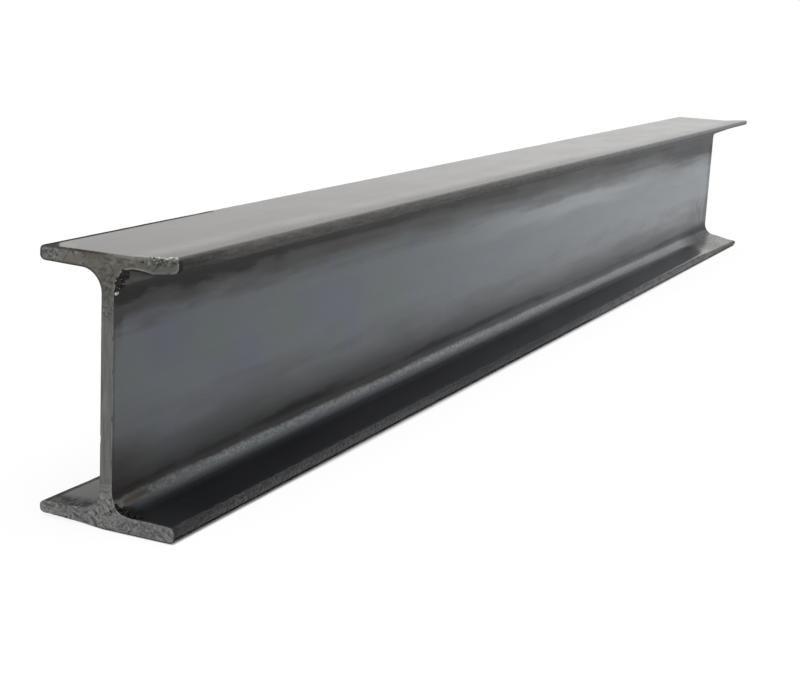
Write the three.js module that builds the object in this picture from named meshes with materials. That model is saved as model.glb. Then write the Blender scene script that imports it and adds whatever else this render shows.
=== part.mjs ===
// A cut length of hot-rolled steel I-beam, standing on its lower flange.
//
// Millimetres, +Z up. X runs along the beam, Y across the flanges.
// The origin is under the middle of the beam, on the level that the lower flange stands on.

import * as THREE from "three";

// ---- Driving dimensions ----------------------------------------------------

const LENGTH = 840; // from saw cut to saw cut
const DEPTH = 100; // outer face to outer face of the flanges
const FLANGE_WIDTH = 57.5;
const FLANGE_THICKNESS = 6; // where the rolling mill gauges it, a quarter of the width in from the toe
const FLANGE_TAPER = 0.03; // how much the flange thickens for each millimetre towards the web
const WEB_THICKNESS = 5.1;
const ROOT_RADIUS = 8.5; // hollow between web and flange
const INNER_TOE_RADIUS = 2.2; // corner of the toe on the web's side
const OUTER_TOE_RADIUS = 2; // corner of the toe on the outer face

const ARC_STEPS = 8; // the extrusion draws each arc with twice as many facets
const STEEL = { color: 0x6d7073, roughness: 0.55, metalness: 0.75 };

// ---- Section ---------------------------------------------------------------

// Thickness of a flange at a distance from the middle of the web.
function flangeThickness(distance) {
  const gaugePoint = FLANGE_WIDTH / 4;
  return FLANGE_THICKNESS + FLANGE_TAPER * (gaugePoint - distance);
}

// The corners of one quarter of the section, before rounding, from the web out to the toe.
// The section's own axes are u across the flanges and v up, with the middle of the web at zero.
function quarterCorners() {
  const webFace = WEB_THICKNESS / 2;
  const toe = FLANGE_WIDTH / 2;
  const outerFace = DEPTH / 2;
  return [
    { u: webFace, v: outerFace - flangeThickness(webFace), radius: ROOT_RADIUS },
    { u: toe, v: outerFace - flangeThickness(toe), radius: INNER_TOE_RADIUS },
    { u: toe, v: outerFace, radius: OUTER_TOE_RADIUS },
  ];
}

// The quarter is mirrored into the other three, and the corners are kept in
// anticlockwise order all the way round.
function sectionCorners() {
  const upperRight = quarterCorners();
  const mirrored = (corners, sideways, upwards) =>
    corners.map(({ u, v, radius }) => ({ u: u * sideways, v: v * upwards, radius }));
  return [
    ...upperRight,
    ...mirrored(upperRight, -1, 1).reverse(),
    ...mirrored(upperRight, -1, -1),
    ...mirrored(upperRight, 1, -1).reverse(),
  ];
}

// The arc that rounds a corner: it touches the edge coming in and the edge going out.
function cornerArc(before, corner, after) {
  const point = new THREE.Vector2(corner.u, corner.v);
  const towardsBefore = new THREE.Vector2(before.u, before.v).sub(point).normalize();
  const towardsAfter = new THREE.Vector2(after.u, after.v).sub(point).normalize();
  const halfAngle = Math.acos(towardsBefore.dot(towardsAfter)) / 2;
  const bisector = towardsBefore.clone().add(towardsAfter).normalize();
  const centre = point.clone().addScaledVector(bisector, corner.radius / Math.sin(halfAngle));
  const tangentLength = corner.radius / Math.tan(halfAngle);
  const startPoint = point.clone().addScaledVector(towardsBefore, tangentLength);
  const endPoint = point.clone().addScaledVector(towardsAfter, tangentLength);
  return {
    centre,
    startAngle: startPoint.sub(centre).angle(),
    endAngle: endPoint.sub(centre).angle(),
    clockwise: towardsBefore.cross(towardsAfter) > 0,
  };
}

// One closed outline: each arc joins the one before it by a straight edge.
function beamSection() {
  const corners = sectionCorners();
  const outline = new THREE.Shape();
  corners.forEach((corner, index) => {
    const before = corners.at(index - 1);
    const after = corners[(index + 1) % corners.length];
    const { centre, startAngle, endAngle, clockwise } = cornerArc(before, corner, after);
    outline.absarc(centre.x, centre.y, corner.radius, startAngle, endAngle, clockwise);
  });
  outline.closePath();
  return outline;
}

// ---- Beam ------------------------------------------------------------------

function makeBeam() {
  const geometry = new THREE.ExtrudeGeometry(beamSection(), {
    depth: LENGTH,
    steps: 1,
    curveSegments: ARC_STEPS,
    bevelEnabled: false,
  });
  const beam = new THREE.Mesh(geometry, new THREE.MeshStandardMaterial(STEEL));
  beam.name = "i_beam";
  // The extrusion grows along its own Z: turn that to X, and the section's v to the beam's Z.
  const extrusionToBeam = new THREE.Matrix4().makeBasis(
    new THREE.Vector3(0, 1, 0),
    new THREE.Vector3(0, 0, 1),
    new THREE.Vector3(1, 0, 0),
  );
  beam.quaternion.setFromRotationMatrix(extrusionToBeam);
  beam.position.set(-LENGTH / 2, 0, DEPTH / 2);
  return beam;
}

const model = new THREE.Group();
model.add(makeBeam());

export default model;
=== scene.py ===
# %% [markdown]
# # A length of hot-rolled steel I-beam
#
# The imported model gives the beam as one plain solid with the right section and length.
# This lesson dresses it the way a real one looks when it leaves the saw: blue-grey mill scale
# on the rolled faces, dark rough toes, a grainy bright end where the blade went through, a
# ragged burr on one corner, and a crust and crumbs of scale in two roots.
# Every length is in metres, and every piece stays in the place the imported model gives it.

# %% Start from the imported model
import math
import random

import bpy
import numpy as np
from mathutils import Matrix, Vector


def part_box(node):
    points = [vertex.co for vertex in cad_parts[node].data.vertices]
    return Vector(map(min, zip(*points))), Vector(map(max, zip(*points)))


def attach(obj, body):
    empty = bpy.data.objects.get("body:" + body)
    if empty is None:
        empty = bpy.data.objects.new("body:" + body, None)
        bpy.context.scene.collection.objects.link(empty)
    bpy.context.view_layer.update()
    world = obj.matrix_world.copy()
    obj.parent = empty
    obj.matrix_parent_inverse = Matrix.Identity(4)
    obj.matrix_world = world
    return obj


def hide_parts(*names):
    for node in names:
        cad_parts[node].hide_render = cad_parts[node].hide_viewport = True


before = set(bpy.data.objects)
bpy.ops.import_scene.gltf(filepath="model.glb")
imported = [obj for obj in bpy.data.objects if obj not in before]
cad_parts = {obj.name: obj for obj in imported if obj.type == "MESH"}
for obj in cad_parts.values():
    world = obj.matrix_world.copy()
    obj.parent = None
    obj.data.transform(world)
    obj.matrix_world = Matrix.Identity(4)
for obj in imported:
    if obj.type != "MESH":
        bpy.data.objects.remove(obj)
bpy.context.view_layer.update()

low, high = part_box("i_beam")
print("beam box", [round(v, 4) for v in low], [round(v, 4) for v in high])

# %% [markdown]
# ## The section's sizes
#
# The box gives the length, the width of the flanges and the depth. What a box cannot tell is the
# profile between its sides, so those sizes are named here: how thick web and flanges are, how
# much the flanges thicken towards the web, and the radii that the rolls leave.

# %% Sizes of the rolled section
LENGTH = high.x - low.x
WIDTH = high.y - low.y
DEPTH = high.z - low.z
HALF_LENGTH = LENGTH / 2
HALF_WIDTH = WIDTH / 2

WEB_THICKNESS = 0.0051
FLANGE_THICKNESS = 0.006  # a quarter of the width in from the toe
FLANGE_TAPER = 0.03
ROOT_RADIUS = 0.0085
INNER_TOE_RADIUS = 0.0022
OUTER_TOE_RADIUS = 0.002
HALF_WEB = WEB_THICKNESS / 2


def flange_thickness(distance):
    """Thickness of a flange at a distance from the middle of the web."""
    return FLANGE_THICKNESS + FLANGE_TAPER * (WIDTH / 4 - distance)


ROOT_LEVEL = flange_thickness(HALF_WEB)
TOE_LEVEL = flange_thickness(HALF_WIDTH)
print("flange at the web and at the toe, mm:", round(ROOT_LEVEL * 1000, 2), round(TOE_LEVEL * 1000, 2))

# %% [markdown]
# ## Picking by place
#
# Modelling by hand means clicking on faces and edges. A script picks them by where they lie and
# which way they face. The test gets all centres and normals at once as arrays, which is quick
# even on a mesh with tens of thousands of faces.

# %% Helpers for one object and its numbers
def leave_edit_mode():
    bpy.ops.object.mode_set(mode="OBJECT")


def only(obj):
    """Make obj the one selected, active object."""
    if bpy.context.object and bpy.context.object.mode != "OBJECT":
        leave_edit_mode()
    bpy.ops.object.select_all(action="DESELECT")
    obj.select_set(True)
    bpy.context.view_layer.objects.active = obj
    return obj


def numbers(items, name, width):
    """One property of all items, read at once, with a row for each."""
    values = np.zeros(len(items) * width, np.float32)
    items.foreach_get(name, values)
    return values.reshape(-1, width)


def points(obj):
    return numbers(obj.data.vertices, "co", 3)


print("the packed beam has", len(points(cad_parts["i_beam"])), "points")

# %% Helpers that pick and cut
def pick(obj, kind, test):
    """Enter edit mode with the FACEs, EDGEs or VERTs selected that test(centres, normals) says."""
    only(obj)
    bpy.ops.object.mode_set(mode="EDIT")
    bpy.ops.mesh.select_mode(type=kind)
    bpy.ops.mesh.select_all(action="DESELECT")
    leave_edit_mode()
    mesh = obj.data
    places = points(obj)
    if kind == "FACE":
        items, centres = mesh.polygons, numbers(mesh.polygons, "center", 3)
        normals = numbers(mesh.polygons, "normal", 3)
    elif kind == "EDGE":
        items = mesh.edges
        ends = np.zeros(len(items) * 2, np.int32)
        items.foreach_get("vertices", ends)
        first, second = places[ends.reshape(-1, 2)].transpose(1, 0, 2)
        centres, normals = (first + second) / 2, second - first
    else:
        items, centres, normals = mesh.vertices, places, numbers(mesh.vertices, "normal", 3)
    chosen = np.asarray(test(centres, normals), bool)
    items.foreach_set("select", chosen)
    bpy.ops.object.mode_set(mode="EDIT")
    return int(chosen.sum())


def slice_shown(axis, stations):
    """Cut all that shows in edit mode by planes across one axis."""
    for station in stations:
        place, normal = [0.0, 0.0, 0.0], [0.0, 0.0, 0.0]
        place[axis], normal[axis] = station, 1.0
        bpy.ops.mesh.select_all(action="SELECT")
        bpy.ops.mesh.bisect(plane_co=place, plane_no=normal)


def near(values, target):
    """Equal to within a hundredth of a millimetre."""
    return np.abs(values - target) < 1e-5


print("helpers ready")

# %% [markdown]
# ## The rolled bar
#
# A beam starts as a slab that the rolls squeeze into an I. The same order works here: the slab is
# the web, its two edges are pulled out sideways into flanges, the flanges are thinned towards
# their toes, and the sharp inside and outside corners are rounded with bevels. A bevel with a round
# profile whose width is the tangent length gives a true arc.

# %% Slab and flanges
bpy.ops.object.select_all(action="DESELECT")
bpy.ops.mesh.primitive_cube_add(size=1, location=(0, 0, DEPTH / 2), scale=(LENGTH, WEB_THICKNESS, DEPTH))
beam = bpy.context.object
beam.name = beam.data.name = "rolled_beam"
bpy.ops.object.transform_apply()
bpy.ops.object.mode_set(mode="EDIT")
slice_shown(2, [ROOT_LEVEL, DEPTH - ROOT_LEVEL])
for side in (-1, 1):
    pick(beam, "FACE", lambda c, n: (n[:, 1] * side > 0.9) & (np.abs(c[:, 2] - DEPTH / 2) > DEPTH / 2 - ROOT_LEVEL))
    bpy.ops.mesh.extrude_region_move(
        TRANSFORM_OT_translate={"value": (0, side * (HALF_WIDTH - HALF_WEB), 0)}
    )
for level, drop in ((ROOT_LEVEL, TOE_LEVEL - ROOT_LEVEL), (DEPTH - ROOT_LEVEL, ROOT_LEVEL - TOE_LEVEL)):
    pick(beam, "VERT", lambda c, n: near(np.abs(c[:, 1]), HALF_WIDTH) & near(c[:, 2], level))
    bpy.ops.transform.translate(value=(0, 0, drop))
leave_edit_mode()
print("blank", len(beam.data.polygons), "faces")

# %% Round the roots and the toes
BLUNT_CORNER = math.pi / 2 + math.atan(FLANGE_TAPER)  # between the web or the toe and a slanted inner face
ROOT_FACETS = 14
TOE_FACETS = 6


def round_edges(test, radius, corner_angle, facets):
    """Bevel the long edges that test picks to a true radius."""
    count = pick(beam, "EDGE", lambda c, d: (np.abs(d[:, 0]) > LENGTH / 2) & test(c))
    bpy.ops.mesh.bevel(offset=radius / math.tan(corner_angle / 2), segments=facets, profile=0.5)
    leave_edit_mode()
    return count


def at_side(centres, distance):
    return near(np.abs(centres[:, 1]), distance)


def at_level(centres, level):
    return near(np.abs(centres[:, 2] - DEPTH / 2), DEPTH / 2 - level)


rounded = [
    round_edges(lambda c: at_side(c, HALF_WEB) & at_level(c, ROOT_LEVEL), ROOT_RADIUS, BLUNT_CORNER, ROOT_FACETS),
    round_edges(lambda c: at_side(c, HALF_WIDTH) & at_level(c, TOE_LEVEL), INNER_TOE_RADIUS, BLUNT_CORNER, TOE_FACETS),
    round_edges(lambda c: at_side(c, HALF_WIDTH) & at_level(c, 0), OUTER_TOE_RADIUS, math.pi / 2, TOE_FACETS),
]
print("long edges rounded:", rounded)

# %% [markdown]
# ## Where the blade went through
#
# A sawn edge is never knife sharp: it is soon rubbed down to a narrow bright arris. Selecting the
# whole sawn face and turning the selection into its outline picks exactly the edges to bevel, and
# leaves out the seams that lie inside the face.

# %% Take the sharp edge off both cuts
CUT_BEVEL = 0.0003

pick(beam, "FACE", lambda c, n: np.abs(n[:, 0]) > 0.9)
bpy.ops.mesh.region_to_loop()
bpy.ops.mesh.bevel(offset=CUT_BEVEL, segments=2, profile=0.5)
leave_edit_mode()
print("cut edges eased:", len(beam.data.polygons), "faces")

# %% [markdown]
# ## Enough faces to bend
#
# A rolled face is never quite flat, and a sawn face is rough. Both need points to move. The two
# ends get a fine grid, because the saw's marks are under a millimetre wide; the long middle gets a
# coarser one. The near end, which shows most, gets the finest. Hiding one part while the other is
# cut keeps the cuts apart.

# %% Grids for the ends and the middle
END_ZONE = 0.006
END_STATIONS = (0.0007, 0.0014, 0.0024, 0.0040)  # in from the cut
NEAR_PITCH, FAR_PITCH = 0.0003, 0.0007
CROSS_PITCH, LONG_PITCH = 0.0036, 0.0036  # of the middle


def steps(start, end, pitch):
    """Evenly spaced places strictly between start and end."""
    count = max(1, round((end - start) / pitch))
    return [start + (end - start) * k / count for k in range(1, count)]


def grid(test, pitch, stations):
    """Cut only the faces that test picks: a pitch apart across and up, and at stations along."""
    pick(beam, "FACE", test)
    bpy.ops.mesh.hide(unselected=True)
    slice_shown(1, steps(-HALF_WIDTH, HALF_WIDTH, pitch))
    slice_shown(2, steps(0, DEPTH, pitch))
    slice_shown(0, stations)
    bpy.ops.mesh.reveal(select=False)


only(beam)
bpy.ops.object.mode_set(mode="EDIT")
slice_shown(0, [-HALF_LENGTH + END_ZONE, HALF_LENGTH - END_ZONE])
for end, pitch in ((-1, NEAR_PITCH), (1, FAR_PITCH)):
    stations = [end * (HALF_LENGTH - depth) for depth in END_STATIONS]
    grid(lambda c, n: c[:, 0] * end > HALF_LENGTH - END_ZONE, pitch, stations)
stations = steps(-HALF_LENGTH + END_ZONE, HALF_LENGTH - END_ZONE, LONG_PITCH)
grid(lambda c, n: np.abs(c[:, 0]) < HALF_LENGTH - END_ZONE, CROSS_PITCH, stations)
leave_edit_mode()
print("gridded:", len(beam.data.polygons), "faces")

# %% [markdown]
# ## Marks that say where
#
# What follows happens only in places: the saw's grain on the cuts, lumps on the toes, waves on all
# that was rolled. A mark is one weight from 0 to 1 at each point. It is kept twice, as a vertex
# group, which modifiers read, and as an attribute with _mask behind its name, which materials
# read. How far a point of a cut lies from its outline, the rim, is looked up in a tree of points.

# %% Marks for the cuts, the toes and the rolled faces
from mathutils.kdtree import KDTree


def ramp(values, start, end):
    """0 at start, 1 at end, with a soft turn at both."""
    share = np.clip((values - start) / (end - start), 0, 1)
    return share * share * (3 - 2 * share)


def mark(obj, name, weights):
    weights = np.clip(weights, 0, 1).astype(np.float32)
    group = obj.vertex_groups.new(name=name)
    for index in np.flatnonzero(weights > 0.002):
        group.add([int(index)], float(weights[index]), "REPLACE")
    attribute = obj.data.attributes.new(name + "_mask", "FLOAT", "POINT")
    attribute.data.foreach_set("value", weights)
    return int((weights > 0.5).sum())


places = points(beam)
on_cut = near(np.abs(places[:, 0]), HALF_LENGTH)

pick(beam, "FACE", lambda c, n: np.abs(n[:, 0]) > 0.99)
bpy.ops.mesh.region_to_loop()
leave_edit_mode()
rim = np.zeros(len(places), bool)
beam.data.vertices.foreach_get("select", rim)
tree = KDTree(int(rim.sum()))
for index in np.flatnonzero(rim):
    tree.insert(places[index], int(index))
tree.balance()
inset = np.ones(len(places), np.float32)
for index in np.flatnonzero(on_cut):
    inset[index] = tree.find(places[index])[2]

at_end = np.abs(places[:, 0]) > HALF_LENGTH - CUT_BEVEL * 1.05
MARKS = {
    "cut": np.where(on_cut, 0.25 + 0.75 * ramp(inset, 0, 0.0009), 0),  # less at the rim
    "arris": np.where(at_end, 1 - ramp(np.where(on_cut, inset, 0), 0.0002, 0.0008), 0),
    "rub": np.where(on_cut, 1 - ramp(inset, 0.0004, 0.0013), 0),  # just inside the arris
    "toe": ramp(np.abs(places[:, 1]), HALF_WIDTH - 0.0022, HALF_WIDTH - 0.0004),
    "rolled": np.where(on_cut, 0, 1),
}
print("points marked", {name: mark(beam, name, weights) for name, weights in MARKS.items()})

# %% [markdown]
# ## Waves, grain and lumps
#
# A Displace modifier moves each point along its normal by a cloudy noise. The noise is read through
# an empty: when the empty is stretched along the beam, so are the waves, as the rolls leave them.
# On the cuts the middle level is near 1, so the points only sink and the length stays what it is.

# %% Displace by stretched clouds
def ruffle(obj, group, size, height, along=1.0, middle=0.5, octaves=2, shift=0.0):
    """Displace the marked points. size is that of the lumps, along how much longer they are on X."""
    clouds = bpy.data.textures.new("clouds", "CLOUDS")
    clouds.noise_scale, clouds.noise_depth = size, octaves
    only(obj)
    bpy.ops.object.empty_add(location=(shift, shift, shift))
    guide = bpy.context.object
    guide.scale = (along, 1, 1)
    bpy.context.view_layer.update()
    only(obj)
    displace = obj.modifiers.new("ruffle", "DISPLACE")
    displace.texture, displace.texture_coords, displace.texture_coords_object = clouds, "OBJECT", guide
    displace.strength, displace.mid_level, displace.vertex_group = height, middle, group
    bpy.ops.object.modifier_apply(modifier=displace.name)
    bpy.data.objects.remove(guide)
    bpy.data.textures.remove(clouds)


ruffle(beam, "rolled", size=0.030, height=0.00010, along=6.0)
ruffle(beam, "rolled", size=0.008, height=0.00004, along=6.0, shift=0.31)
ruffle(beam, "toe", size=0.0045, height=0.00040, along=1.6, octaves=3, shift=0.17)
ruffle(beam, "cut", size=0.0045, height=0.00022, middle=0.85, shift=0.05)
ruffle(beam, "cut", size=0.0011, height=0.00038, middle=0.75, octaves=3, shift=0.23)
spots = points(beam)
print("lowest and highest point, mm", (spots.min(0) * 1000).round(2), (spots.max(0) * 1000).round(2))

# %% [markdown]
# ## A flange that is a little out of true
#
# The rolls may leave a flange up to about a millimetre and a half out of square. Here the outer
# part of one half of the top flange turns up along the whole beam, which makes the top face
# slightly dished. A Displace modifier without a texture moves every marked point by the same
# amount times its weight.

# %% Lift one toe of the top flange
TOE_LIFT = 0.0016
LIFT_START = 0.009


def push(obj, name, weights, direction, distance):
    """Move the marked points along one axis. A weight of 1 moves a point the whole distance."""
    mark(obj, name, weights)
    only(obj)
    move = obj.modifiers.new(name, "DISPLACE")
    move.direction, move.mid_level, move.strength, move.vertex_group = direction, 0.0, distance, name
    bpy.ops.object.modifier_apply(modifier=move.name)


def lift_toe(obj):
    spots = points(obj)
    share = np.clip((-spots[:, 1] - LIFT_START) / (HALF_WIDTH - LIFT_START), 0, 1)
    push(obj, "lift", np.where(spots[:, 2] > DEPTH * 0.85, share ** 1.3, 0), "Z", TOE_LIFT)


lift_toe(beam)
print("toe lifted by", TOE_LIFT * 1000, "mm")

# %% [markdown]
# ## An edge that lost a bite
#
# On the near cut the inner edge of the same half flange is worn away, from the root outwards, as
# if it had been rubbed on a stone. The rim moves up into the metal, most of all in the root, and
# the points behind and above it follow less and less, so the surface slopes into the wear.

# %% Wear down the near inner edge
BITE_DEPTH = 0.0023
BITE_LENGTH = 0.0046  # along the beam
BITE_REACH = 0.0042  # up the sawn face
ROOT_CENTRE_Y = HALF_WEB + ROOT_RADIUS
ROOT_CENTRE_Z = DEPTH - flange_thickness(ROOT_CENTRE_Y) - ROOT_RADIUS


def underside(across):
    """Level of the top flange's lower surface, hollow included, so far from the middle of the web."""
    hollow = ROOT_CENTRE_Z + np.sqrt(np.clip(ROOT_RADIUS ** 2 - (ROOT_CENTRE_Y - across) ** 2, 0, None))
    return np.where(across > ROOT_CENTRE_Y, DEPTH - flange_thickness(across), hollow)


def bite_share(across, behind):
    """How much of the bite's depth is missing at a place on the edge, and behind it."""
    shape = np.interp(across, [0.0027, 0.0034, 0.0047, 0.0062, 0.0080, 0.0110, 0.0150, 0.0185],
                      [0.0, 0.35, 0.85, 1.0, 0.75, 0.70, 0.45, 0.0])
    return shape * (1 - ramp(behind, 0.0, BITE_LENGTH))


spots = points(beam)
across = -spots[:, 1]
height = spots[:, 2] - underside(across)
worn_away = bite_share(across, spots[:, 0] + HALF_LENGTH) * np.clip(1 - height / BITE_REACH, 0, 1)
worn_away[(height < -0.002) | (spots[:, 2] < DEPTH / 2) | (across < HALF_WEB * 0.9)] = 0
push(beam, "bite", worn_away, "Z", BITE_DEPTH)
print("worn points:", int((worn_away > 0.05).sum()))

# %% [markdown]
# ## Toes that are not quite full
#
# Towards the far cut the near side's toes run out thin. At the near cut the lower flange's other
# toe is worn from below, and the lower root is ground down a little. In every case one side of
# the flange stays where it is, and the points between the two sides move by their share.

# %% Thin the toes
TOP_THINNING, LOW_THINNING, FOOT_WEAR = 0.0026, 0.0024, 0.0011

spots = points(beam)
across, behind = -spots[:, 1], spots[:, 0] + HALF_LENGTH
thick = flange_thickness(np.abs(across))
in_top, in_low = spots[:, 2] > DEPTH * 0.85, spots[:, 2] < DEPTH * 0.15
from_foot = np.clip(spots[:, 2] / thick, 0, 1)
from_top = np.clip((DEPTH + TOE_LIFT - spots[:, 2]) / (thick + TOE_LIFT), 0, 1)
top_share = ramp(behind, LENGTH - 0.150, LENGTH - 0.040) * ramp(across, 0.009, 0.026)
low_share = ramp(behind, LENGTH - 0.130, LENGTH - 0.006) * ramp(across, 0.009, 0.026)
near_share = (1 - ramp(behind, 0.02, 0.09)) * np.clip(-across / HALF_WIDTH, 0, 1)
push(beam, "thin_top", np.where(in_top, top_share * from_top, 0), "Z", TOP_THINNING)
push(beam, "thin_low", np.where(in_low, low_share * from_foot, 0), "Z", -LOW_THINNING)
push(beam, "worn_foot", np.where(in_low, near_share * (1 - from_foot), 0), "Z", FOOT_WEAR)
print("thinned points:", int((top_share > 0.05).sum()))

# %% Grind down the lower root
GRIND_DEPTH = 0.0011

upper_side = DEPTH - underside(across)
below = upper_side - spots[:, 2]
shape = np.interp(across, [0.0026, 0.0033, 0.0042, 0.0055, 0.0068, 0.0086, 0.0120, 0.0200],
                  [0.0, 0.4, 0.8, 1.0, 0.7, 0.3, 0.2, 0.0])
ground_root = shape * (1 - ramp(behind, 0.0, BITE_LENGTH)) * np.clip(1 - below / BITE_REACH, 0, 1)
ground_root[(spots[:, 2] > DEPTH / 2) | (below < -0.002) | (across < HALF_WEB * 0.9)] = 0
push(beam, "ground_root", ground_root, "Z", -GRIND_DEPTH)
print("ground points:", int((ground_root > 0.05).sum()))

# %% [markdown]
# ## Dents and crumbs
#
# Where the blade tore the metal it left dents, and crumbs that still hang on. On the near cut they
# are listed one by one, as oval marks. Each row gives a place on the section, across and up, half the
# length and half the width of the oval, all in millimetres, and its turn in degrees.

# %% Tear the near cut
DENT_DEPTH, CRUMB_HEIGHT = 0.00022, 0.0001
DENTS = [
    (26.3, 97.7, 0.6, 0.4, -5), (23.8, 97.7, 0.7, 0.4, 10), (24.5, 95.8, 0.7, 0.3, -25), (21.5, 96.8, 0.5, 0.4, -5),
    (14.8, 98.7, 1, 0.4, 55), (12, 99.6, 1.7, 0.3, 0), (1.7, 99.6, 0.7, 0.3, -5), (10.3, 95.1, 0.7, 0.4, 10),
    (-1.5, 89.8, 0.5, 0.4, -5), (0.5, 87.4, 0.4, 0.6, -5), (-1.9, 85.2, 0.4, 0.4, -5), (-11.4, 99.6, 0.8, 0.3, -5),
    (-14.3, 98.4, 0.5, 0.3, -5), (-16.2, 100.4, 0.5, 0.4, -5), (-20.2, 98.3, 0.4, 0.6, 20),
    (-21.4, 98.7, 0.6, 0.5, -5), (-22.4, 99.4, 0.7, 0.3, -5), (-21.9, 100.2, 0.7, 0.3, -5),
    (-24, 99.8, 0.4, 0.5, -5), (-26.8, 99.6, 1, 0.3, -5), (25.9, 4.2, 0.7, 0.3, -10), (24.1, 4, 0.6, 0.4, -10),
    (22, 5.9, 0.8, 0.5, 5), (19.2, 5.3, 0.7, 0.4, -10), (17.4, 5.8, 0.7, 0.3, -10), (24.3, 0.9, 1, 0.3, 0),
    (21.2, 1, 0.7, 0.3, 0), (19, 0.9, 0.9, 0.3, 0), (17.1, 1.3, 0.6, 0.4, -10), (15.2, 1.9, 0.4, 0.7, -10),
    (12.8, 2.6, 2.1, 0.5, 35), (4.9, 2, 2.2, 0.5, 50), (4.1, 5, 0.9, 0.5, 25), (7.4, 7.2, 2.1, 0.4, -35),
    (8.9, 1, 1.3, 0.4, -5), (-2.2, 0.2, 1.1, 0.3, 0), (-5.2, 0.6, 1.7, 0.3, -5), (-4.3, 0.5, 1.7, 0.4, 0),
    (-10.1, 0.7, 0.5, 0.4, -10), (-20.8, 2.6, 0.6, 0.3, -10), (-22.3, 3, 0.6, 0.3, -10), (-2.5, 70, 0.5, 0.9, 0),
    (-2.5, 41, 0.4, 1.2, 0), (-2.5, 58, 0.3, 1, 0), (2.5, 33, 0.3, 1.4, 0), (-2.5, 25, 0.3, 1.2, 0),
]
CRUMBS = [
    (25.9, 98.8, 0.6, 0.4, -30), (24.2, 96.9, 0.5, 0.5, -5), (22.7, 95.7, 0.6, 0.6, -5), (19.6, 100.2, 0.9, 0.3, 0),
    (14.7, 100.3, 0.4, 0.6, -5), (16.9, 100, 1, 0.4, 0), (13.3, 98.7, 0.8, 0.4, -5), (-15.1, 100, 0.4, 1.2, -5),
    (-16.8, 98.5, 0.6, 0.8, -5), (-21.5, 99.6, 0.4, 0.3, -5), (-27.1, 100.7, 0.6, 0.4, -5),
    (-23.3, 100.5, 0.5, 0.4, -5), (-18.3, 100.6, 0.6, 0.3, -5), (24.5, 4.9, 0.9, 0.3, -20),
    (21.2, 4.9, 0.5, 0.6, -10), (18, 5, 0.7, 0.4, -10), (23.9, 1.9, 0.9, 0.3, -10), (7, 6.7, 1.4, 0.4, -30),
    (3.5, 6, 1, 0.5, 40), (1.5, 4.7, 1, 0.5, 35), (3.7, 3.2, 0.6, 0.5, -10), (2, 2.9, 0.4, 0.6, -10),
    (6.7, 4.5, 0.9, 0.4, 0), (6.2, 0.6, 1.1, 0.6, -20), (14.1, 2, 0.6, 0.8, 15), (-1, 10.4, 1.6, 0.5, 35),
    (-3.5, 9.1, 1.2, 0.4, 40), (1.7, 12, 0.8, 1.1, -25), (-12.6, 5, 1.3, 0.4, 5), (-14.5, 4.2, 0.4, 0.7, -10),
    (-21, 4.3, 0.7, 0.4, -10), (-23, 3.9, 0.6, 0.5, 30), (-25.8, 2.8, 0.5, 0.6, 15), (-27.8, 4.1, 0.6, 0.5, 40),
    (-22.4, 1, 0.8, 0.3, -10),
]


def ovals(rows):
    """How far each point of the near cut belongs to any of the ovals."""
    spots = points(beam).astype(float)
    share = np.zeros(len(spots))
    for across, level, long, wide, turn in rows:
        aside, above = spots[:, 1] * 1000 - across, spots[:, 2] * 1000 - level
        c, s = math.cos(math.radians(turn)), math.sin(math.radians(turn))
        outwards = np.hypot((aside * c + above * s) / long, (above * c - aside * s) / wide)
        share = np.maximum(share, 1 - ramp(outwards, 0.5, 1.4))
    return np.where(spots[:, 0] < -HALF_LENGTH + 0.001, share, 0)


dent_weights, crumb_weights = ovals(DENTS), ovals(CRUMBS)
push(beam, "dent", dent_weights, "X", DENT_DEPTH)
push(beam, "crumb", crumb_weights, "X", -CRUMB_HEIGHT)
print("marks:", len(DENTS), "dents,", len(CRUMBS), "crumbs")

# %% [markdown]
# ## Node trees as sums
#
# A material is a tree of nodes, and what runs along its links is a field: a value or a colour that
# changes over the surface. Here a field knows how to add, multiply and fade, so that a tree is
# written like a sum and each sign makes one node. Colours are given as they look on screen, from 0
# to 255, and turned into the linear values that Blender computes with.

# %% Colours, and fields that can be added and mixed
def tint(red, green, blue):
    def linear(value):
        value = value / 255
        return value / 12.92 if value <= 0.04045 else ((value + 0.055) / 1.055) ** 2.4

    return (linear(red), linear(green), linear(blue), 1.0)


class Field:
    """One output of a node."""

    def __init__(self, sheet, socket):
        self.sheet, self.socket = sheet, socket

    def math(self, operation, second=0.0):
        return self.sheet.add("ShaderNodeMath", {0: self, 1: second}, operation=operation)

    def __add__(self, other):
        return self.math("ADD", other)

    def __sub__(self, other):
        return self.math("SUBTRACT", other)

    def __rsub__(self, other):
        return self.sheet.add("ShaderNodeMath", {0: other, 1: self}, operation="SUBTRACT")

    def __mul__(self, other):
        return self.math("MULTIPLY", other)

    def __truediv__(self, other):
        return self.math("DIVIDE", other)

    def __abs__(self):
        return self.math("ABSOLUTE")

    def fade(self, start, end, low=0.0, high=1.0):
        """low where the field is start, high where it is end, with a soft turn."""
        inputs = {"Value": self, "From Min": start, "From Max": end, "To Min": low, "To Max": high}
        return self.sheet.add("ShaderNodeMapRange", inputs, interpolation_type="SMOOTHSTEP")

    def spread(self, low, high):
        """A mask from 0 to 1, made to run from low to high."""
        return self.fade(0.0, 1.0, low, high)

    def mix(self, first, second):
        """The first value where the field is 0, the second where it is 1."""
        return self.sheet.add("ShaderNodeMix", {0: self, 2: first, 3: second}, data_type="FLOAT")

    def blend(self, first, second):
        """The same for colours. A plain colour is given as three numbers from 0 to 255."""
        first, second = (tint(*color) if isinstance(color, tuple) else color for color in (first, second))
        return self.sheet.add("ShaderNodeMix", {0: self, 6: first, 7: second}, output=2, data_type="RGBA")


def most(first, second):
    return first.math("MAXIMUM", second)


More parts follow.
